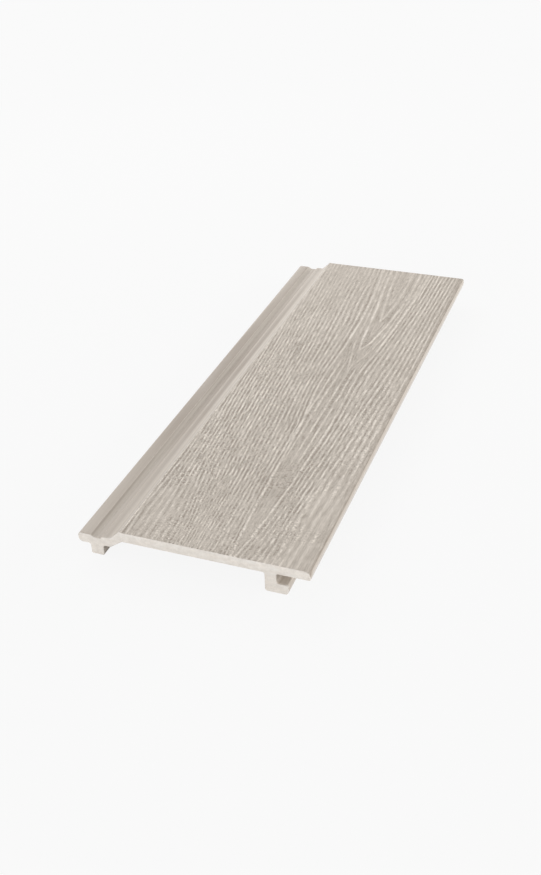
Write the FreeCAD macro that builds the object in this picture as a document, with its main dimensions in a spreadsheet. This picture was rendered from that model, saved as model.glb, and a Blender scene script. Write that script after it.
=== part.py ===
import FreeCAD, Part
import os
import Sketcher

# Composite siding board: a cut length of extruded wood-plastic cladding.
# The board is one constant section, so it is drawn once and padded to length.
#
# Frame: X runs across the board from the tongue (-X) to the lapping lip (+X),
# Y runs along its length and Z points out of the finished face. The origin is
# on the level that the rib and the foot stand on, under the middle of the board.
# All sizes are in millimetres.

driving_sizes = {
    # Overall
    "board_length": 435.0,
    "board_width": 156.0,
    "board_thickness": 21.0,

    # Walls of the section
    "face_wall": 7.2,
    "lip_wall": 6.4,
    "web_wall": 7.6,
    "foot_wall": 7.0,
    "tongue_wall": 6.7,
    "plateau_wall": 6.7,
    "rib_width": 9.0,

    # The lip reaches over the next board, and the foot under its tongue
    "lip_reach": 21.8,
    "foot_reach": 7.4,

    # Clearances between one board and the next
    "lap_clearance": 0.2,
    "foot_end_clearance": 1.0,
    "joint_reveal": 1.0,

    # The tongue's flat, then the shallow groove that takes the screws
    "tongue_flat": 8.8,
    "screw_groove_depth": 1.6,
    "screw_groove_run_in": 3.0,
    "screw_groove_floor": 4.0,
    "screw_groove_run_out": 1.8,

    # The sloping shoulder between the plateau and the face, and its back
    "shoulder_run": 7.0,
    "land_width": 5.0,
    "shoulder_back_run": 8.7,

    # Corner radii of the section
    "nose_top_radius": 2.0,
    "nose_bottom_radius": 3.0,
    "lip_radius": 2.2,
    "foot_radius": 1.7,
    "root_radius": 1.5,
    "soft_radius": 1.2,
    "small_radius": 1.0,
    "arris_radius": 0.4,
}

doc = FreeCAD.newDocument("siding_board")
sheet = doc.addObject("Spreadsheet::Sheet", "sizes")
for row, (name, number) in enumerate(driving_sizes.items(), start=1):
    sheet.set(f"A{row}", name)
    sheet.set(f"B{row}", str(number))
    sheet.setAlias(f"B{row}", name)
doc.recompute()


def value(name):
    return float(sheet.get(name))


# Corners of the section with sharp corners, round the outline from the tongue's
# underside. They place the sketch's lines before its constraints take over, and
# they say where each corner's radius goes.
nose_x = -value("board_width") / 2
edge_x = value("board_width") / 2
web_x = edge_x - value("lip_reach")
foot_x = web_x + value("foot_reach")
rib_x = nose_x + value("foot_reach") + value("foot_end_clearance")
rib_inner_x = rib_x + value("rib_width")
groove_x = nose_x + value("tongue_flat")
groove_floor_x = groove_x + value("screw_groove_run_in")
groove_end_x = groove_floor_x + value("screw_groove_floor")
plateau_x = groove_end_x + value("screw_groove_run_out")
shoulder_x = nose_x + value("lip_reach") + value("joint_reveal")
face_x = shoulder_x + value("shoulder_run")
land_x = rib_inner_x + value("land_width")
back_x = land_x + value("shoulder_back_run")

face_z = value("board_thickness")
lip_z = face_z - value("lip_wall")
lap_z = lip_z - value("lap_clearance")

corners = {
    "nose_bottom": (nose_x, lap_z - value("tongue_wall")),
    "nose_top": (nose_x, lap_z),
    "groove_near": (groove_x, lap_z),
    "groove_floor_near": (groove_floor_x, lap_z - value("screw_groove_depth")),
    "groove_floor_far": (groove_end_x, lap_z - value("screw_groove_depth")),
    "groove_far": (plateau_x, lap_z),
    "shoulder_foot": (shoulder_x, lap_z),
    "face_arris": (face_x, face_z),
    "lip_top": (edge_x, face_z),
    "lip_bottom": (edge_x, lip_z),
    "hook_top": (web_x, lip_z),
    "hook_bottom": (web_x, value("foot_wall")),
    "foot_top": (foot_x, value("foot_wall")),
    "foot_bottom": (foot_x, 0),
    "heel": (web_x - value("web_wall"), 0),
    "web_root": (web_x - value("web_wall"), face_z - value("face_wall")),
    "back_slope_top": (back_x, face_z - value("face_wall")),
    "back_slope_foot": (land_x, lap_z - value("plateau_wall")),
    "rib_root_inner": (rib_inner_x, lap_z - value("plateau_wall")),
    "rib_bottom_inner": (rib_inner_x, 0),
    "rib_bottom_outer": (rib_x, 0),
    "rib_root_outer": (rib_x, lap_z - value("tongue_wall")),
}
order = list(corners)

# The board
board = doc.addObject("PartDesign::Body", "siding_board")
board.Label = "siding_board"

section = board.newObject("Sketcher::SketchObject", "section")
section_plane = [p for p in board.Origin.OriginFeatures if p.Role == "XZ_Plane"][0]
section.AttachmentSupport = [(section_plane, "")]
section.MapMode = "FlatFace"

for index, name in enumerate(order):
    start = FreeCAD.Vector(*corners[name], 0)
    end = FreeCAD.Vector(*corners[order[(index + 1) % len(order)]], 0)
    section.addGeometry(Part.LineSegment(start, end), False)

for index in range(len(order)):
    section.addConstraint(Sketcher.Constraint("Coincident", index, 2, (index + 1) % len(order), 1))


def line(name):
    """Number of the outline's line that starts at the named corner."""
    return order.index(name)


def keep(direction, name):
    """Keep the line that starts at the named corner level or upright."""
    section.addConstraint(Sketcher.Constraint(direction, line(name)))


def dimension(direction, start, end, expression, name):
    """Drive the distance between two corners from the sheet."""
    first = corners[start]
    second = corners[end]
    axis = 0 if direction == "DistanceX" else 1
    distance = second[axis] - first[axis]
    number = section.addConstraint(
        Sketcher.Constraint(direction, line(start), 1, line(end), 1, distance))
    section.renameConstraint(number, name)
    section.setExpression("Constraints." + name, expression)


ORIGIN = -1
X_AXIS = -1

for name in ("nose_top", "groove_floor_near", "groove_far", "face_arris", "lip_bottom", "hook_bottom",
             "foot_bottom", "web_root", "back_slope_foot", "rib_bottom_inner", "rib_root_outer"):
    keep("Horizontal", name)
for name in ("nose_bottom", "lip_top", "hook_top", "foot_top", "heel", "rib_root_inner", "rib_bottom_outer"):
    keep("Vertical", name)

# The rib and the foot stand on one level, and the tongue's flat and the plateau
# beyond the screw groove lie level with each other
section.addConstraint(Sketcher.Constraint("PointOnObject", line("foot_bottom"), 1, X_AXIS))
section.addConstraint(Sketcher.Constraint("PointOnObject", line("rib_bottom_inner"), 1, X_AXIS))
section.addConstraint(Sketcher.Constraint("Horizontal", line("groove_near"), 1, line("groove_far"), 1))

# Overall width and thickness, centred on the origin
half = section.addConstraint(
    Sketcher.Constraint("DistanceX", line("nose_top"), 1, ORIGIN, 1, -nose_x))
section.renameConstraint(half, "half_width")
section.setExpression("Constraints.half_width", "sizes.board_width / 2")
dimension("DistanceX", "nose_top", "lip_top", "sizes.board_width", "width")
dimension("DistanceY", "foot_bottom", "lip_top", "sizes.board_thickness", "thickness")

# The lapping edge
dimension("DistanceY", "lip_bottom", "lip_top", "sizes.lip_wall", "lip_wall")
dimension("DistanceX", "hook_top", "lip_bottom", "sizes.lip_reach", "lip_reach")
dimension("DistanceY", "foot_bottom", "foot_top", "sizes.foot_wall", "foot_wall")
dimension("DistanceX", "hook_bottom", "foot_top", "sizes.foot_reach", "foot_reach")
dimension("DistanceX", "heel", "hook_bottom", "sizes.web_wall", "web_wall")
dimension("DistanceY", "web_root", "lip_top", "sizes.face_wall", "face_wall")

# The tongue edge fits under the lip and over the foot of the next board
dimension("DistanceY", "nose_top", "lip_bottom", "sizes.lap_clearance", "lap")
dimension("DistanceY", "nose_bottom", "nose_top", "sizes.tongue_wall", "tongue_wall")
dimension("DistanceX", "nose_bottom", "rib_root_outer", "sizes.foot_reach + sizes.foot_end_clearance",
          "foot_room")
dimension("DistanceX", "rib_bottom_outer", "rib_bottom_inner", "sizes.rib_width", "rib_width")
dimension("DistanceX", "nose_top", "groove_near", "sizes.tongue_flat", "tongue_flat")
dimension("DistanceY", "groove_floor_near", "groove_near", "sizes.screw_groove_depth", "groove_depth")
dimension("DistanceX", "groove_near", "groove_floor_near", "sizes.screw_groove_run_in", "groove_run_in")
dimension("DistanceX", "groove_floor_near", "groove_floor_far", "sizes.screw_groove_floor", "groove_floor")
dimension("DistanceX", "groove_floor_far", "groove_far", "sizes.screw_groove_run_out", "groove_run_out")

# The shoulder rises to the face just clear of the next board's lip
dimension("DistanceX", "nose_top", "shoulder_foot", "sizes.lip_reach + sizes.joint_reveal", "lap_width")
dimension("DistanceX", "shoulder_foot", "face_arris", "sizes.shoulder_run", "shoulder_run")
dimension("DistanceY", "rib_root_inner", "shoulder_foot", "sizes.plateau_wall", "plateau_wall")
dimension("DistanceX", "rib_root_inner", "back_slope_foot", "sizes.land_width", "land_width")
dimension("DistanceX", "back_slope_foot", "back_slope_top", "sizes.shoulder_back_run", "back_run")

extrusion = board.newObject("PartDesign::Pad", "extrusion")
extrusion.Profile = section
extrusion.SideType = "Symmetric"
extrusion.setExpression("Length", "sizes.board_length")
doc.recompute()


def lengthwise_edges(feature, names):
    """Names of the feature's edges that run along the board at the named corners."""
    found = []
    for number, edge in enumerate(feature.Shape.Edges, start=1):
        first = edge.Vertexes[0].Point
        last = edge.Vertexes[-1].Point
        along = abs(first.x - last.x) < 1e-6 and abs(first.z - last.z) < 1e-6
        for name in names:
            x, z = corners[name]
            if along and abs(first.x - x) < 1e-4 and abs(first.z - z) < 1e-4:
                found.append("Edge" + str(number))
    return found


# Corners of the die: rounded noses, soft roots and one nearly sharp arris where
# the shoulder meets the face. The two sawn ends stay sharp.
rounds = (
    ("nose_top_round", "nose_top_radius", ["nose_top"]),
    ("nose_bottom_round", "nose_bottom_radius", ["nose_bottom"]),
    ("lip_round", "lip_radius", ["lip_top"]),
    ("foot_rounds", "foot_radius", ["foot_bottom", "heel"]),
    ("root_rounds", "root_radius",
     ["hook_bottom", "web_root", "back_slope_top", "rib_root_inner", "rib_root_outer"]),
    ("soft_rounds", "soft_radius",
     ["groove_near", "groove_floor_near", "groove_floor_far", "groove_far", "shoulder_foot",
      "back_slope_foot"]),
    ("small_rounds", "small_radius",
     ["lip_bottom", "hook_top", "foot_top", "rib_bottom_inner", "rib_bottom_outer"]),
    ("arris_round", "arris_radius", ["face_arris"]),
)
previous = extrusion
for name, radius, where in rounds:
    fillet = board.newObject("PartDesign::Fillet", name)
    fillet.Base = (previous, lengthwise_edges(previous, where))
    fillet.setExpression("Radius", "sizes." + radius)
    doc.recompute()
    previous = fillet
board.Tip = previous
board.Placement = FreeCAD.Placement()
doc.recompute()

# Nothing is written unless every feature built and the board is one sound solid
for item in doc.Objects:
    if "Invalid" in item.State or "Error" in item.State:
        raise RuntimeError(item.Name + " did not build: " + str(item.State))
if section.solve() != 0:
    raise RuntimeError("the section's constraints do not agree")
for part in (board,):
    if part.Shape.isNull() or not part.Shape.isValid():
        raise RuntimeError(part.Label + " has no sound shape")

os.makedirs("parts", exist_ok=True)
for part in (board,):
    part.Shape.exportStep("parts/" + part.Label + ".step")
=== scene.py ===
import math

import bpy
import numpy as np
from mathutils import Matrix, Vector


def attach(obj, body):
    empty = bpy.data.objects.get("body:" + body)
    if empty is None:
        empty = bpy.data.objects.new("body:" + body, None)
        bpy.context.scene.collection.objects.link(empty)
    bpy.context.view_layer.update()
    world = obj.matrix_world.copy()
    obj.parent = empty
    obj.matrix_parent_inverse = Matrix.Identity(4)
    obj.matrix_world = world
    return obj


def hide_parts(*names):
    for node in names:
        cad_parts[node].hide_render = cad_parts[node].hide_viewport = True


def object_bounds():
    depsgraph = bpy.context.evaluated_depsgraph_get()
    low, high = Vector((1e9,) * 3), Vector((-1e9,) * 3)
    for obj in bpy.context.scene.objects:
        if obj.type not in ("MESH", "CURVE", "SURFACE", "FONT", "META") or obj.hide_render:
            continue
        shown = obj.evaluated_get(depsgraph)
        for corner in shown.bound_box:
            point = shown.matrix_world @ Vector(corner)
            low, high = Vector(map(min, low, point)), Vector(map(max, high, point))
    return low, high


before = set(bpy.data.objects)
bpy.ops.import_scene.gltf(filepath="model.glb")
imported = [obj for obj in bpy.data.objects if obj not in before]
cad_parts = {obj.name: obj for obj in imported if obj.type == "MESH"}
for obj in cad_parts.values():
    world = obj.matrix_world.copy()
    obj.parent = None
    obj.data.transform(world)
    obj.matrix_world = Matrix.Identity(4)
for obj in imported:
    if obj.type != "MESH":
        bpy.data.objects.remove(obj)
cad_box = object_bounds()

# The board
# One piece of wood-plastic composite, extruded through a die as a constant
# section, embossed on its face by a heated roller while still warm, and sawn
# off square at both ends.
MM = 0.001
BOARD_WIDTH, BOARD_LENGTH, BOARD_THICKNESS = (round((high - low) / MM, 2) for low, high in zip(*cad_box))
FACE_LEFT = 29.8
TONGUE_TOP = 14.4
TONGUE_UNDERSIDE = 7.7
SCREW_GROOVE_FLOOR = 12.8
LIP_UNDERSIDE = 14.6
HOOK_GROOVE_FLOOR = 7.0
WEB_UNDERSIDE = 13.8

# The die's corners, running round the section from the tongue's underside: across
# from the tongue's tip, height over the foot's level, corner radius, and how much
# painted highlight makes the corner paler. Those below 0 carry painted shade instead.
DIE_CORNERS = (
    # The tongue
    (0.0, TONGUE_UNDERSIDE, 3.0, 0.3), (0.0, TONGUE_TOP, 2.0, -0.1),
    # The screw groove
    (8.8, TONGUE_TOP, 1.2, -0.3), (11.8, SCREW_GROOVE_FLOOR, 1.2, -0.1),
    (15.8, SCREW_GROOVE_FLOOR, 1.2, -0.3), (17.6, TONGUE_TOP, 1.2, -0.2),
    # The shoulder
    (22.8, TONGUE_TOP, 1.2, 0.3), (FACE_LEFT, BOARD_THICKNESS, 0.4, 0.5),
    # The lip
    (BOARD_WIDTH, BOARD_THICKNESS, 2.2, 0.3), (BOARD_WIDTH, LIP_UNDERSIDE, 1.0, 0.9),
    # The hook groove, the foot and the web that carries it
    (134.2, LIP_UNDERSIDE, 1.0, -0.2), (134.2, HOOK_GROOVE_FLOOR, 1.5, -0.3),
    (141.6, HOOK_GROOVE_FLOOR, 1.0, 0.2), (141.6, 0.0, 1.7, 0.5),
    (126.6, 0.0, 1.7, 0.3), (126.6, WEB_UNDERSIDE, 1.5, -0.3),
    # The sloping back
    (31.1, WEB_UNDERSIDE, 1.5, -0.3), (22.4, TONGUE_UNDERSIDE, 1.2, -0.3),
    # The rib
    (17.4, TONGUE_UNDERSIDE, 1.5, -0.3), (17.4, 0.0, 1.0, 0.3),
    (8.4, 0.0, 1.0, 0.3), (8.4, TONGUE_UNDERSIDE, 1.5, -0.3),
)
# The corner where the face starts, and the distances between the skin's points
FACE_CORNER = 7
FACE_STEP = 0.4
ROW_STEP = 1.82
ARC_STEP = math.radians(22.5)


def die_outline():
    """Points round the section: for each, whether the roller embosses it and how much painted light or
    shade it carries.
    """
    points = []
    on_face = []
    light_and_shade = []
    count = len(DIE_CORNERS)
    for index, (across, height, radius, corner_light_and_shade) in enumerate(DIE_CORNERS):
        here = Vector((across, height))
        before = Vector(DIE_CORNERS[index - 1][:2]) - here
        after = Vector(DIE_CORNERS[(index + 1) % count][:2]) - here
        before.normalize()
        after.normalize()
        half = before.angle(after) / 2
        middle = here + (before + after).normalized() * radius / math.sin(half)
        reach = radius / math.tan(half)
        first = here + before * reach - middle
        turn = (here + after * reach - middle).angle_signed(first)
        steps = max(2, round(abs(turn) / ARC_STEP))
        for step in range(steps + 1):
            points.append(middle + Matrix.Rotation(turn * step / steps, 2) @ first)
            on_face.append(index == FACE_CORNER + 1 and step < steps / 2)
            light_and_shade.append(corner_light_and_shade)
        if index == FACE_CORNER:
            lip_across, _, lip_radius, _ = DIE_CORNERS[index + 1]
            start = points[-1].x
            end = lip_across - lip_radius
            columns = round((end - start) / FACE_STEP)
            for column in range(1, columns):
                points.append(Vector((start + (end - start) * column / columns, height)))
                on_face.append(True)
                light_and_shade.append(0.0)
    return np.array(points), np.array(on_face), np.array(light_and_shade)


def drift(across, along, width, length, seed):
    """Smooth random drift from -1 to 1, in patches of the given width and length."""
    wide, long = 97, 389
    lattice = np.random.default_rng(seed).uniform(-1, 1, (wide, long))
    clear_of_edge = 11.0
    u = np.asarray(across / width + clear_of_edge)
    v = np.asarray(along / length + clear_of_edge)
    i = np.floor(u).astype(int)
    j = np.floor(v).astype(int)
    u = u - i
    v = v - j
    u = u * u * (3 - 2 * u)
    v = v * v * (3 - 2 * v)
    near = lattice[i % wide, j % long] * (1 - u) + lattice[(i + 1) % wide, j % long] * u
    far = lattice[i % wide, (j + 1) % long] * (1 - u) + lattice[(i + 1) % wide, (j + 1) % long] * u
    return near * (1 - v) + far * v


def ramp(value, low, high):
    """0 below low, 1 above high and an easy curve between."""
    share = np.clip((value - low) / (high - low), 0, 1)
    return share * share * (3 - 2 * share)


def hump(value, middle, reach):
    """1 at the middle, falling smoothly away on both sides."""
    return np.exp(-((value - middle) / reach) ** 2)


# The face. Every place on it is given in millimetres: across from the tongue's tip
# and along from the near end.
#
# The arches of the plank's figure, from the widest in. Each has its strength, and
# its two arms: distance along, left arm, right arm.
ARCHES = (
    (1.0, (0, 105.0, 107.6), (21, 103.4, 110.6), (46, 101.8, 112.6), (84, 100.0, 115.2), (108, 98.8, 115.6),
     (157, 97.0, 117.2), (193, 93.0, 116.4), (217, 91.0, 115.6), (246, 91.0, 115.4), (278, 92.0, 118.6),
     (326, 91.6, 122.0), (380, 88.0, 124.6), (435, 82.0, 125.0)),
    (0.55, (243, 105.2, 105.6), (263, 102.0, 110.0), (278, 99.4, 113.6), (301, 97.4, 117.0),
     (326, 95.6, 118.4), (360, 93.4, 120.0), (394, 89.6, 121.8), (435, 86.0, 121.4)),
    (1.0, (277, 104.4, 104.8), (290, 102.8, 109.6), (326, 100.0, 114.6), (355, 97.5, 116.8),
     (394, 93.2, 118.4), (435, 90.0, 117.2)),
    (0.9, (331, 107.0, 107.2), (360, 103.0, 110.8), (394, 98.6, 111.4), (435, 95.0, 110.6)),
    (0.4, (364, 106.3, 106.7), (385, 103.6, 107.6), (400, 101.8, 108.0), (435, 100.2, 107.6)),
)
NOWHERE_NEAR = 99
# The straight run of the lines left and right of the widest arch, and how far from
# it they still bend with it
LEFT_RUN = ((0, 435), (105, 82))
RIGHT_RUN = ((0, 100, 435), (110, 116, 121))
BEND_REACH = 14
# Straight lines up the middle of the widest arch, and the faint lines that follow
# the arches inside it
STEM_LINES = (96.2, 100.4, 106.2, 110.8)
STEM_WIDTH = 0.9
ECHO_SPACING = 2.3
# How many lines there are up to a distance from the widest arch, at four places
# along the board. Left of the arch both are negative.
RULER_GAPS = (-72, -48, -24, 0, 18, 40)
RULER = (
    (30, (-23.2, -17.3, -7.6, 0, 5.5, 9.6)),
    (100, (-25.0, -16.4, -8.0, 0, 5.9, 10.2)),
    (230, (-24.2, -15.2, -7.0, 0, 4.7, 10.4)),
    (400, (-21.0, -13.4, -6.2, 0, 5.0, 11.4)),
)
LINE_HEIGHT = 0.38
# Where the roller bit deeper or lighter: middle across and along, reach across and
# along, and the gain
PATCHES = (
    (42, 75, 10, 14, 0.5), (77, 88, 9, 14, 0.5), (128, 80, 8, 42, 0.5), (50, 165, 14, 20, 0.75),
    (93, 172, 6, 12, 0.5), (131, 188, 8, 24, 0.3), (130, 380, 18, 45, 0.8), (145, 300, 10, 24, 0.5),
    (62, 140, 44, 90, 0.35), (62, 57, 14, 9, -0.5), (40, 28, 11, 32, -0.4), (106, 60, 7, 45, -0.2),
    (146, 60, 11, 55, -0.6), (145, 232, 10, 26, -0.3), (113, 20, 14, 24, -0.35), (58, 360, 18, 26, -0.2),
    (50, 95, 26, 22, 0.25), (41, 165, 16, 85, 0.35), (50, 425, 26, 34, -0.3), (104, 380, 14, 50, -0.2),
)
FULL_BITE = 1.45
GROUND_LEVEL = 0.44
# Fine grooves that close the face at the tongue side and the lip side: place across
# and width
TONGUE_GROOVE, TONGUE_GROOVE_WIDTH = 32.0, 0.6
LIP_GROOVE, LIP_GROOVE_WIDTH = 155.3, 0.55


def raised_line(gap, width):
    """A line's height over the ground: a rounded ridge with a shallow groove each side."""
    return 1.15 * hump(gap, 0, width) - 0.5 * hump(gap, 0, 2.2 * width)


def stronger(one, other):
    """Whichever of two patterns stands out more at each place."""
    return np.where(np.abs(one) > np.abs(other), one, other)


def tongue_half(across):
    """1 on the half of the face by the tongue and 0 on the half by the lip."""
    return ramp(98 - across, 0, 40)


def soft_corners(across, along):
    """1 in the near corners, where the roller's lines are long and soft, and 0 elsewhere."""
    left = ramp(54 - across, 0, 10) * (1 - ramp(along, 30, 80))
    right = ramp(across - 132, 0, 8) * (1 - ramp(along, 60, 120))
    return left + right


def roller_bite(across, along):
    """How deep the roller bit: less at the near end, and at the far end by the tongue."""
    bite = FULL_BITE - 0.4 * ramp(150 - along, 0, 150) - 0.6 * ramp(along, 260, 400) * tongue_half(across)
    for middle, station, wide, long, gain in PATCHES:
        bite = bite + gain * hump(across, middle, wide) * hump(along, station, long)
    return bite


def closing_grooves(across, along):
    """The fine grooves at both sides of the face, which run out along the board."""
    by_tongue = 0.25 * hump(across, TONGUE_GROOVE, TONGUE_GROOVE_WIDTH) * (1 - ramp(along, 180, 280))
    by_lip = 0.5 * hump(across, LIP_GROOVE, LIP_GROOVE_WIDTH) * (1 - ramp(along, 80, 200))
    return by_tongue + by_lip


def plank_figure(across, along):
    """The figure's height, how far a place is outside its widest arch, and its place on the ruler."""
    figure = 0
    nearest = NOWHERE_NEAR
    thickness = 0.9 + 0.7 * ramp(along, 240, 380)
    for number, (strength, *arch) in enumerate(ARCHES):
        stations, left_arm, right_arm = zip(*arch)
        left = across - np.interp(along, stations, left_arm)
        right = across - np.interp(along, stations, right_arm)
        arms = stronger(raised_line(left, thickness), raised_line(right, thickness))
        fade = 0.8 + 0.3 * drift(across, along, width=20, length=14, seed=30 + number)
        fade = fade + 0.4 * drift(across, along, width=20, length=3.2, seed=70 + number)
        fade = fade * (1 - 0.2 * ramp(along, 350, 425))
        started = ramp(along - stations[0], -2.5, 1)
        figure = stronger(strength * arms * fade * started, figure)
        gap = np.minimum(np.abs(left), np.abs(right)) + NOWHERE_NEAR * (started < 0.5)
        nearest = np.minimum(nearest, gap)
        if number == 0:
            outside = ramp(np.maximum(-left, right), 0.8, 1.8)
            run = np.where(left < -right, np.interp(along, *LEFT_RUN), np.interp(along, *RIGHT_RUN))
            bend = np.where(left < -right, across - left - run, across - right - run)
            place = across - run - bend * np.exp(-gap / BEND_REACH)

    echo = np.cos(2 * math.pi * nearest / ECHO_SPACING)
    echo = echo * (0.5 + 0.5 * drift(across, along, width=4, length=12, seed=21))
    figure = figure + 0.25 * echo * (1 - outside) * ramp(nearest, 1.0, 1.8) * ramp(6.0 - nearest, 0, 2)
    stem = sum(raised_line(across - line, STEM_WIDTH) for line in STEM_LINES)
    stem = stem * (0.7 + 0.5 * drift(across, along, width=3, length=9, seed=23))
    figure = stronger(1.1 * stem * ramp(along, 85, 150) * ramp(262 - along, 0, 25), figure)
    return figure, outside, place


def ruled_lines(place, along, soft):
    """Lines at the ruler's spacing, each wandering and fading on its own."""
    stations = [station for station, counts in RULER]
    counts = [np.interp(place, RULER_GAPS, counts) for station, counts in RULER]
    shares = [np.interp(along, stations, at_station) for at_station in np.eye(len(RULER))]
    phase = sum(count * share for count, share in zip(counts, shares))
    near_end = 1 - ramp(along, 30, 240)
    phase = phase + 0.2 * drift(place, along, width=8, length=45, seed=40)
    jitter = (0.04 + 0.05 * near_end) * (1 - soft)
    phase = phase + jitter * drift(place, along, width=3, length=5, seed=41)
    number = np.round(phase)
    line = number * 1.37
    beads = 0.3 * drift(line, along, width=1.0, length=7, seed=43)
    beads = beads + (0.6 + 0.25 * near_end) * drift(line, along, width=1.0, length=2.3, seed=44)
    strength = 0.75 + 0.35 * drift(line, along, width=1.0, length=30, seed=42) + beads * (1 - 0.7 * soft)
    width = 0.28 - 0.06 * near_end
    return (1.4 * hump(phase, number, width) - 0.65) * np.clip(strength, 0.1, 1.4)


def fine_hair(place, along, outside, soft, on_tongue_half, near_end):
    """Fibres too fine to count, between and over the lines."""
    hair = drift(place, along, width=0.7, length=7, seed=8)
    hair = hair + 0.7 * drift(place + 0.06 * along, along, width=0.6, length=3.2, seed=9)
    hair = hair * (0.15 - 0.03 * near_end - 0.08 * ramp(along, 200, 300) * (1 - on_tongue_half))
    return hair * (0.6 + 0.4 * outside) * (1 - 0.5 * soft)


def ground_between(across, along):
    """The level of the ground between the lines, higher and lower in large soft areas."""
    ground = GROUND_LEVEL + 0.1 * ramp(across, 112, 140) * (1 - ramp(along, 150, 260))
    ground = ground + 0.04 * (1 - ramp(along, 20, 90))
    ground = ground - 0.06 * hump(along, 235, 60) * (1 - ramp(across, 100, 130))
    ground = ground - 0.12 * hump(across, 107, 10) * hump(along, 88, 30)
    ground = ground - 0.04 * hump(across, 107, 16) * ramp(along, 310, 350)
    return ground + 0.06 * drift(across, along, width=9, length=12, seed=50)


def face_relief(across, along):
    """Relief of the embossed face: 0 in the deepest grooves, 1 on top of the ridges."""
    near_end = 1 - ramp(along, 40, 260)
    on_tongue_half = tongue_half(across)
    bite = roller_bite(across, along)
    grooves = closing_grooves(across, along)
    from_lip = LIP_GROOVE - across - 0.8 * ramp(along, 180, 320)
    margin = ramp(across - FACE_LEFT, 0.7, 1.9) * ramp(from_lip, 1.0, 2.6)
    # The face's edge by the tongue keeps a high relief, which also makes it paler: a painted highlight on
    # the lit arris beside the shoulder
    tongue_edge = 0.62 + 0.32 * near_end + 0.15 * ramp(along, 200, 280)
    lip_edge = 0.24 + 0.32 * near_end
    edge = np.where(on_tongue_half > 0, tongue_edge, lip_edge)
    lean = 5.0 * hump(across, 68, 16) * ramp(120 - along, 0, 105)
    soft = soft_corners(across, along)

    across = across + 0.3 * drift(across, along, width=16, length=60, seed=3) + (
        0.06 * drift(across, along, width=5, length=12, seed=4))
    wander = (0.12 + 0.12 * near_end) * (1 - 0.7 * soft)
    across = across + wander * drift(across, along, width=2.4, length=2.0, seed=5)

    figure, outside, place = plank_figure(across, along)
    ruled = LINE_HEIGHT * ruled_lines(place - lean, along, soft) * outside
    hair = fine_hair(place, along, outside, soft, on_tongue_half, near_end)
    figure_height = 0.75 + 0.25 * near_end + 0.25 * hump(along, 295, 35)
    relief = ground_between(across, along) + bite * (ruled + hair) + figure_height * figure
    return np.clip(relief, 0, 1.15) * margin + edge * (1 - margin) - grooves


def face_nap(across, along):
    """How rough the face is between its lines."""
    on_tongue_half = tongue_half(across)
    rough = ramp(drift(across, along, width=11, length=17, seed=13) + 0.3 * on_tongue_half, -0.6, 0.7)
    rough = 0.2 + 0.2 * rough - 0.2 * soft_corners(across, along)
    rough = rough * (1 - 0.35 * ramp(along, 30, 140) * (1 - on_tongue_half))
    return rough * (1 - 0.45 * ramp(along, 200, 400))


def painted_tongue_shade(across, along):
    """Painted shade on the tongue's edge and in the screw groove, deepest half way along, and on the tongue
    at the far end.
    """
    half_way = hump(along, 215, 125)
    on_edge = ramp(21.5 - across, 0, 1.5) * (0.32 + 0.65 * half_way)
    in_groove = ramp(16 - across, 0, 1) * 1.7 * half_way
    far_tongue = ramp(9.5 - across, 0, 1) * 0.5 * ramp(along, 300, 420)
    return on_edge + in_groove + far_tongue


EMBOSS_DEPTH = 0.22
SAW_SOFTENING = 0.3
# How much paler the painted highlight makes the sawn ends' eased edges
SAWN_EDGE_HIGHLIGHT = 0.7
# The near lip corner is crushed: its place across and height, how far the dent
# reaches round it and along the board, how deep it is and how much painted shade darkens it
LIP_CORNER = (BOARD_WIDTH, 20.0)
DENT_REACH = 2.4
DENT_LENGTH = 4.5
DENT_ACROSS, DENT_DOWN = 0.55, 0.5
DENT_SHADE = 2.5

outline, on_face, outline_light_and_shade = die_outline()
outline_count = len(outline)
rows = np.linspace(0, BOARD_LENGTH, round(BOARD_LENGTH / ROW_STEP) + 1)
rows = np.concatenate(([0, SAW_SOFTENING], rows[1:-1], [BOARD_LENGTH - SAW_SOFTENING, BOARD_LENGTH]))
near_row = slice(0, outline_count)
second_row = slice(outline_count, 2 * outline_count)
last_but_one_row = slice(-2 * outline_count, -outline_count)
far_row = slice(-outline_count, None)

# Inward direction at each outline point, to ease the sawn edges
tangent = np.roll(outline, -1, 0) - np.roll(outline, 1, 0)
inward = np.stack([tangent[:, 1], -tangent[:, 0]], 1)
inward /= np.linalg.norm(inward, axis=1)[:, None]

along = np.repeat(rows, outline_count)
across = np.tile(outline[:, 0], len(rows))
height = np.tile(outline[:, 1], len(rows))
embossed = np.tile(on_face, len(rows))
relief = np.zeros(len(along))
relief[embossed] = face_relief(across[embossed], along[embossed])
nap = np.where(embossed, face_nap(across, along), 0)
# Painted light and shade at each point: paler on the lit sides and arrises, darker in the inner corners and
# on the tongue
light_and_shade = np.tile(outline_light_and_shade, len(rows)) - painted_tongue_shade(across, along)
# A painted highlight along the eased edges of both sawn ends
light_and_shade[second_row] += SAWN_EDGE_HIGHLIGHT
light_and_shade[last_but_one_row] += SAWN_EDGE_HIGHLIGHT
height[embossed] -= EMBOSS_DEPTH * np.clip(1 - relief[embossed], 0, 1)

dent = hump(across, LIP_CORNER[0], DENT_REACH) * hump(height, LIP_CORNER[1], DENT_REACH)
dent = dent * ramp(DENT_LENGTH - along, 0, DENT_LENGTH)
across -= DENT_ACROSS * dent
height -= DENT_DOWN * dent
# Painted shade in the dent
light_and_shade = light_and_shade - DENT_SHADE * dent
for end_row in (near_row, far_row):
    light_and_shade[end_row] = 0
    chips = drift(np.arange(outline_count) * 0.31, along[end_row], width=1.0, length=9, seed=11)
    chips = SAW_SOFTENING * (0.75 + 0.6 * chips)
    across[end_row] += inward[:, 0] * chips
    height[end_row] += inward[:, 1] * chips

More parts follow.
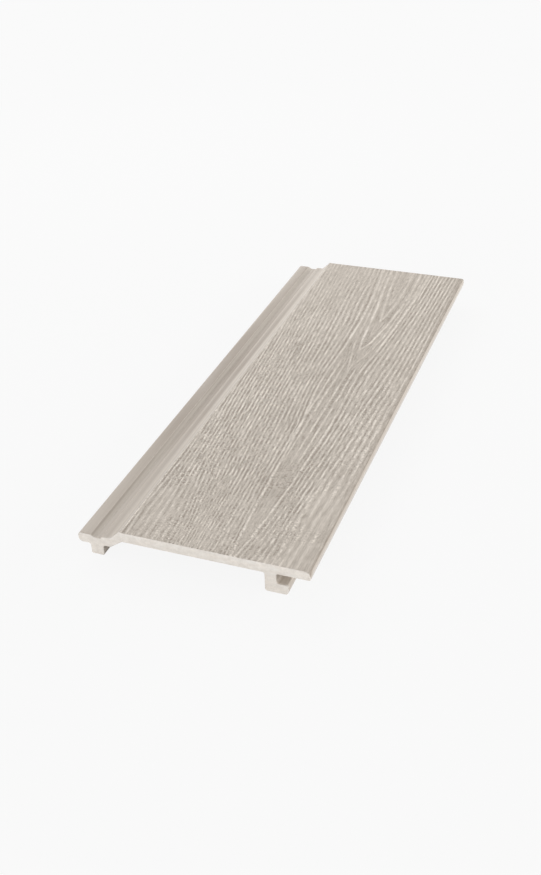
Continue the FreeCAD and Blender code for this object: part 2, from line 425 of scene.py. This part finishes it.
vertices = np.stack([
    (across - BOARD_WIDTH / 2) * MM,
    (along - BOARD_LENGTH / 2) * MM,
    height * MM,
], 1)

row_starts = np.arange(len(rows) - 1)[:, None] * outline_count
here = np.arange(outline_count)[None, :]
after = (here + 1) % outline_count
quads = np.stack([
    row_starts + here, row_starts + after,
    row_starts + outline_count + after, row_starts + outline_count + here,
], 2).reshape(-1, 4)
quad_on_face = np.tile(on_face | np.roll(on_face, -1), len(rows) - 1)

last_row = (len(rows) - 1) * outline_count
near_end_face = list(range(outline_count - 1, -1, -1))
far_end_face = list(range(last_row, last_row + outline_count))

board_mesh = bpy.data.meshes.new("siding_board_skin")
board_mesh.from_pydata(vertices.tolist(), [], quads.tolist() + [near_end_face, far_end_face])
FLANK, FACE, SAWN = 0, 1, 2
finish_of = np.where(quad_on_face, FACE, FLANK)
finish_of[near_row] = SAWN
finish_of[far_row] = SAWN
board_mesh.polygons.foreach_set("material_index", finish_of.tolist() + [SAWN, SAWN])
board_mesh.polygons.foreach_set("use_smooth", [True] * len(quads) + [False, False])
for name, values in (("relief", relief), ("nap", nap), ("light_and_shade", light_and_shade)):
    layer = board_mesh.attributes.new(name, "FLOAT", "POINT")
    layer.data.foreach_set("value", values.astype(np.float32))
board_mesh.update()
board_mesh.validate()

board = bpy.data.objects.new("siding_board_skin", board_mesh)
bpy.context.scene.collection.objects.link(board)
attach(board, "root")
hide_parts("siding_board")


class Coat:
    """One value on a surface. Sums and products of such values add Math nodes."""

    def __init__(self, tree, socket=None):
        self.tree = tree
        self.socket = socket

    def node(self, kind, settings, sockets, output=0):
        """Add a node: its settings first, then the values or links of its sockets."""
        new = self.tree.nodes.new("ShaderNode" + kind)
        for name, value in settings.items():
            setattr(new, name, value)
        for name, value in sockets.items():
            if isinstance(value, Coat):
                self.tree.links.new(value.socket, new.inputs[name])
            else:
                new.inputs[name].default_value = value
        return Coat(self.tree, new.outputs[output] if new.outputs else None)

    def math(self, operation, first, second, clamp=False):
        """A Math node, for the operators and for what has no operator."""
        return self.node("Math", {"operation": operation, "use_clamp": clamp}, {0: first, 1: second})

    def __add__(self, other):
        return self.math("ADD", self, other)

    __radd__ = __add__

    def __sub__(self, other):
        return self.math("SUBTRACT", self, other)

    def __rsub__(self, other):
        return self.math("SUBTRACT", other, self)

    def __mul__(self, other):
        return self.math("MULTIPLY", self, other)

    __rmul__ = __mul__

    def rise(self, low, high, start=0.0, end=1.0):
        """The start value below low, the end value above high and a straight run between."""
        return self.node("MapRange", {}, {
            "Value": self, "From Min": low, "From Max": high, "To Min": start, "To Max": end})

    def blend(self, low, high):
        """The colour low where this value is 0 and high where it is 1."""
        return self.node("Mix", {"data_type": "RGBA"}, {0: self, 6: low, 7: high}, 2)


def new_finish(name):
    """A material with nothing in it, a start for its nodes, and the place on the piece."""
    finish = bpy.data.materials.new(name)
    finish.use_nodes = True
    finish.node_tree.nodes.clear()
    coat = Coat(finish.node_tree)
    return finish, coat, coat.node("TexCoord", {}, {}, "Object")


def colour(red, green, blue):
    """A paint value from 0 to 255 as the shader's own colour."""
    parts = [value / 255 for value in (red, green, blue)]
    return tuple(p / 12.92 if p < 0.04045 else ((p + 0.055) / 1.055) ** 2.4 for p in parts) + (1.0,)


def measured(coat, name):
    """A value that the skin carries at each of its points."""
    return coat.node("Attribute", {"attribute_name": name}, {}, "Fac")


def direction(coat, place, axis):
    """One of the three parts of a place: X across, Y along or Z up."""
    return coat.node("SeparateXYZ", {}, {"Vector": place}, axis)


def streaks(coat, place, patches, detail=3.0):
    """Noise drawn out along the board, with so many patches to the metre each way."""
    stretched = coat.node("VectorMath", {"operation": "MULTIPLY"}, {0: place, 1: patches})
    return coat.node("TexNoise", {}, {"Vector": stretched, "Scale": 1.0, "Detail": detail})


def close_finish(coat, base, roughness, bumps, bump_distance):
    """The matt composite body that carries the finish."""
    normal = coat.node("Bump", {}, {"Strength": 1.0, "Distance": bump_distance, "Height": bumps})
    body = coat.node("BsdfPrincipled", {}, {
        "Base Color": base, "Roughness": roughness, "Normal": normal, "IOR": 1.46})
    coat.node("OutputMaterial", {}, {"Surface": body})


# Bands painted paler or darker along the top: mostly painted highlight and painted
# shade on the tongue, the screw groove's slopes and the step up to the shoulder,
# with die marks among them. For each: middle across, reach, and how much paler
# each is at the near end, half way and at the far end
TOP_SHADING_AND_DIE_MARKS = (
    (1.0, 1.2, 0.0, 0.5, 0.1), (5.0, 5.5, 0.0, -0.14, -0.12),
    (8.2, 1.0, 0.0, -0.1, -0.34), (8.8, 0.6, 0.25, 0.5, 0.1), (9.9, 1.8, 0.05, 1.05, 0.85),
    (10.1, 0.9, -0.12, 0.0, 0.0), (11.2, 1.4, 0.7, 0.6, 0.4), (16.9, 1.3, 0.05, 0.1, 0.2),
    (18.9, 0.9, 0.0, -0.35, 0.0), (20.0, 1.2, -0.31, -0.55, -0.3), (21.1, 1.2, -0.1, -0.42, 0.0),
    (23.1, 1.2, 0.02, 0.2, 0.1), (26.2, 1.9, -0.27, -0.19, 0.05), (28.8, 1.4, -0.13, 0.2, 0.15),
    (155.45, 0.35, -0.8, 0.0, 0.0),
)
# The marks are only on what faces up, above this height
MARKS_ABOVE = 12.5
# The stretches, in metres from the middle of the board, over which they change from
# the near end's look to the middle's, and then to the far end's
TO_THE_MIDDLE = (-0.18, -0.04)
TO_THE_FAR_END = (0.05, 0.2)

# Extruded flanks: the tongue, shoulder, lip edge and back, as they leave the die
DARK_FLANK = colour(157, 145, 133)
PALE_FLANK = colour(204, 195, 184)
# The pale colour painted as a highlight on the lit sides and arrises
HIGHLIGHT_FLANK = colour(203, 197, 191)
flank_finish, coat, place = new_finish("extruded_composite")
die_lines = streaks(coat, place, (900.0, 4.0, 900.0))
cloud = streaks(coat, place, (60.0, 14.0, 60.0))
# Painted light and shade carried by the skin: paler on the lit sides, darker in inner corners
painted_light_and_shade = measured(coat, "light_and_shade")
from_tongue = direction(coat, place, "X") * (1 / MM) + BOARD_WIDTH / 2
faces_up = coat.math("GREATER_THAN", direction(coat, place, "Z"), MARKS_ABOVE * MM)
half_way = direction(coat, place, "Y").rise(*TO_THE_MIDDLE)
far_end = direction(coat, place, "Y").rise(*TO_THE_FAR_END)
paleness = die_lines * 0.44 + cloud * 0.25 + 0.3 + painted_light_and_shade * 0.25
# Each band paints highlight or shade onto what faces up
for middle, reach, near_lift, middle_lift, far_lift in TOP_SHADING_AND_DIE_MARKS:
    off = coat.node("Math", {"operation": "ABSOLUTE"}, {0: from_tongue - middle})
    mark = coat.math("SUBTRACT", 1.0, off * (1 / reach), clamp=True)
    lift = near_lift + half_way * (middle_lift - near_lift) + far_end * (far_lift - middle_lift)
    paleness = paleness + mark * faces_up * lift
base = painted_light_and_shade.rise(0.3, 0.9).blend(paleness.blend(DARK_FLANK, PALE_FLANK), HIGHLIGHT_FLANK)
close_finish(coat, base, 0.42 + 0.3 * cloud, die_lines, 0.12 * MM)

# Embossed face: ridges rubbed pale, grooves a darker greige that is partly painted shade in the grooves
GROOVE_GREIGE = colour(152, 142, 131)
RIDGE_CREAM = colour(224, 215, 204)
# The height in the relief that keeps its tone where the nap chops the lines up
EVEN_HEIGHT = 0.45
face_finish, coat, place = new_finish("embossed_composite")
raised = measured(coat, "relief")
rough = measured(coat, "nap")
specks = streaks(coat, place, (1000.0, 780.0, 400.0), 2.0)
cloud = streaks(coat, place, (45.0, 12.0, 45.0))
chops = streaks(coat, place, (560.0, 1000.0, 400.0), 1.0)
fibres = streaks(coat, place, (1300.0, 150.0, 400.0), 2.0)
chopped = (raised - EVEN_HEIGHT) * (1.0 + rough * (chops * 26.0 - 13.0))
paleness = chopped * 0.85 + rough * (specks * 2.4 - 1.2) + fibres * 0.8 + cloud * 0.14 - 0.07
base = paleness.blend(GROOVE_GREIGE, RIDGE_CREAM)
close_finish(coat, base, 0.78 - 0.2 * raised, specks * rough, 0.6 * MM)

# Sawn ends: paler fresh composite, mottled warm and cool, with fibre specks, the
# saw's marks, and a painted highlight on the top and on the eased edges
SAWN_DARK = colour(198, 191, 183)
SAWN_WARM = colour(239, 229, 218)
SAWN_COOL = colour(233, 232, 229)
sawn_finish, coat, place = new_finish("sawn_composite")
specks = streaks(coat, place, (1100.0, 300.0, 1100.0), 4.0)
saw_marks = streaks(coat, place, (150.0, 300.0, 1800.0))
cloud = streaks(coat, place, (250.0, 300.0, 420.0), 2.0)
tint = streaks(coat, place, (110.0, 300.0, 480.0), 1.0)
# Painted highlight: the sawn end paler towards its top
painted_top_highlight = direction(coat, place, "Z").rise(15 * MM, 20 * MM, 0.03, 0.13)
paleness = specks * 0.6 + cloud * 0.7 - 0.35 + painted_top_highlight + measured(coat, "light_and_shade") * 0.6
base = paleness.blend(SAWN_DARK, tint.blend(SAWN_WARM, SAWN_COOL))
close_finish(coat, base, 0.75, specks * 0.5 + saw_marks * 0.5, 0.1 * MM)

for finish in (flank_finish, face_finish, sawn_finish):
    board_mesh.materials.append(finish)

# The floor
# A plain white studio sweep that the board lies on. The camera sees it almost as
# one even white that keeps the board's shadow, and further out as the white alone.
FLOOR_REACH = 2.4
FLOOR_DROP = 0.2 * MM
SWEEP_WHITE = colour(250, 250, 250)
EVEN_WHITE_SHARE = 0.94
SHADOW_ENDS, WHITE_STARTS = 0.45, 0.95
floor_corners = [
    (-FLOOR_REACH, -FLOOR_REACH, 0), (FLOOR_REACH, -FLOOR_REACH, 0),
    (FLOOR_REACH, FLOOR_REACH, 0), (-FLOOR_REACH, FLOOR_REACH, 0),
]
floor_mesh = bpy.data.meshes.new("studio_floor")
floor_mesh.from_pydata(floor_corners, [], [(0, 1, 2, 3)])
floor = bpy.data.objects.new("studio_floor", floor_mesh)
floor.location.z = -FLOOR_DROP
bpy.context.scene.collection.objects.link(floor)


def seen_directly(coat):
    """1 for what the camera sees, itself or in a gloss, and 0 for the light that falls on the board."""
    return coat.node("LightPath", {}, {}, "Is Camera Ray") + coat.node("LightPath", {}, {}, "Is Glossy Ray")


white_sweep, coat, place = new_finish("white_sweep")
paint = coat.node("BsdfDiffuse", {}, {"Color": colour(240, 240, 239)})
glow = coat.node("Emission", {}, {"Color": SWEEP_WHITE, "Strength": 1.0})
away = coat.node("VectorMath", {"operation": "LENGTH"}, {0: place}, "Value")
white_share = away.rise(SHADOW_ENDS, WHITE_STARTS, EVEN_WHITE_SHARE, 1.0)
cover = coat.node("MixShader", {}, {0: seen_directly(coat) * white_share, 1: paint, 2: glow})
coat.node("OutputMaterial", {}, {"Surface": cover})
floor_mesh.materials.append(white_sweep)

# The light
# Large soft boxes in front, low on the left and on the right, in a pale room whose
# walls are the same white as the sweep. Each box: place, width, height and watts.
SOFT_BOXES = {
    "front_box": ((-0.3, -3.2, 0.9), 3.0, 1.2, 58),
    "left_box": ((-1.1, 1.2, 0.9), 1.6, 0.8, 20),
    "right_box": ((1.9, 0.6, 0.5), 2.0, 0.6, 26),
}
ROOM_LIGHT = 0.52

for name, (box_place, width, box_height, watts) in SOFT_BOXES.items():
    lamp = bpy.data.lights.new(name, "AREA")
    lamp.shape = "RECTANGLE"
    lamp.size = width
    lamp.size_y = box_height
    lamp.energy = watts
    holder = bpy.data.objects.new(name, lamp)
    holder.location = box_place
    holder.rotation_euler = (-Vector(box_place)).to_track_quat("-Z", "Y").to_euler()
    bpy.context.scene.collection.objects.link(holder)

room = bpy.data.worlds.new("pale_room")
bpy.context.scene.world = room
room.use_nodes = True
room.node_tree.nodes.clear()
coat = Coat(room.node_tree)
air = coat.node("Background", {}, {
    "Color": SWEEP_WHITE, "Strength": ROOM_LIGHT + (1 - ROOM_LIGHT) * seen_directly(coat)})
coat.node("OutputWorld", {}, {"Surface": air})

# The camera
# At the photographed angle: in front of the near end, to the right and above, on a
# tripod head that is turned, tilted down and rolled a little.
CAMERA_PLACE = (0.24264, -0.69838, 0.43887)
CAMERA_TURN, CAMERA_TILT, CAMERA_ROLL = 21.253, 57.596, -1.944
LENS_LENGTH, FILM_WIDTH = 45.58, 36.0
camera_data = bpy.data.cameras.new("camera")
camera_data.sensor_width = FILM_WIDTH
camera_data.lens = LENS_LENGTH
camera = bpy.data.objects.new("camera", camera_data)
turn = Matrix.Rotation(math.radians(CAMERA_TURN), 4, "Z")
tilt = Matrix.Rotation(math.radians(CAMERA_TILT), 4, "X")
roll = Matrix.Rotation(math.radians(CAMERA_ROLL), 4, "Z")
camera.matrix_world = Matrix.Translation(CAMERA_PLACE) @ turn @ tilt @ roll
bpy.context.scene.collection.objects.link(camera)
bpy.context.scene.camera = camera
bpy.context.scene.view_settings.view_transform = "Standard"
